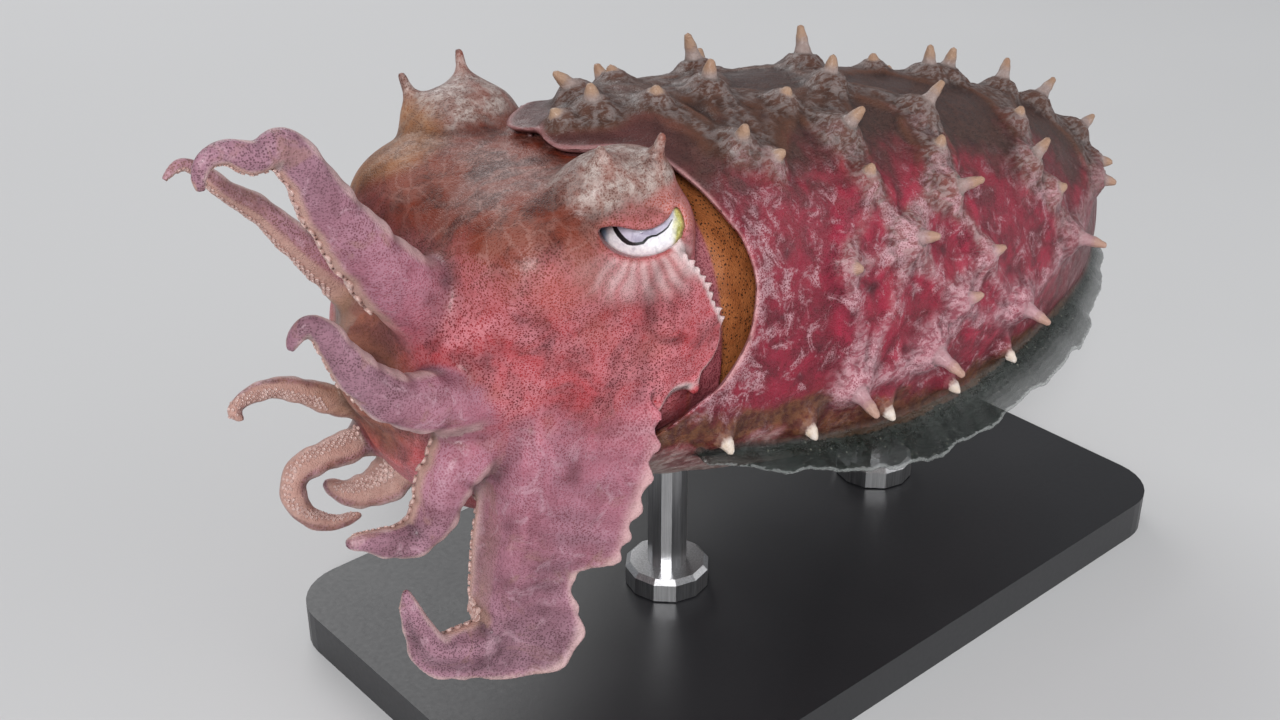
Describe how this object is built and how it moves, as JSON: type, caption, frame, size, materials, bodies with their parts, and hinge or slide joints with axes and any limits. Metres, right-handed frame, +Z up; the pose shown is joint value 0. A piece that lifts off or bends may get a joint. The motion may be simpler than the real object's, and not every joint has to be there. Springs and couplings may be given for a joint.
{
  "type": "broadclub cuttlefish",
  "caption": "Life-size still model of a cuttlefish in a swimming pose, arms raised and spread, skin raised in tall papillae, held over a flat base by two short rods.",
  "frame": {"origin": "middle of the display stand's underside", "axes": "+Z up, head towards -X, tail towards +X, the animal's left side towards -Y"},
  "size_m": [0.2298, 0.1, 0.1329],
  "materials": {
    "mantle_skin": "wet-looking mottled crimson and brown skin with pale ridges",
    "head_skin": "fine-grained rusty red skin, satin",
    "arm_skin": "mauve-pink skin with soft dark spots, satin",
    "neck_skin": "smooth caramel-orange skin with small dark dots",
    "fin_skin": "thin translucent grey-green membrane",
    "eye": "glossy silver with a black W-shaped pupil",
    "stand_plate": "satin black",
    "stand_rod": "brushed"
  },
  "bodies": {
    "root": {"mantle": "mantle_skin", "neck": "neck_skin", "head": "head_skin", "mouth": "arm_skin", "funnel": "neck_skin", "eye_left": "eye", "eye_right": "eye", "fin_left": "fin_skin", "fin_right": "fin_skin", "arm_left_1_base": "arm_skin", "arm_left_1_middle": "arm_skin", "arm_left_1_tip": "arm_skin", "arm_left_2_base": "arm_skin", "arm_left_2_tip": "arm_skin", "arm_left_3_base": "arm_skin", "arm_left_3_tip": "arm_skin", "arm_left_4_base": "arm_skin", "arm_left_4_middle": "arm_skin", "arm_left_4_tip": "arm_skin", "arm_right_1_base": "arm_skin", "arm_right_1_tip": "arm_skin", "arm_right_2_base": "arm_skin", "arm_right_2_tip": "arm_skin", "arm_right_3_base": "arm_skin", "arm_right_3_tip": "arm_skin", "arm_right_4_base": "arm_skin", "arm_right_4_tip": "arm_skin", "stand_base": "stand_plate", "stand_rod_front": "stand_rod", "stand_rod_rear": "stand_rod"}
  },
  "joints": []
}
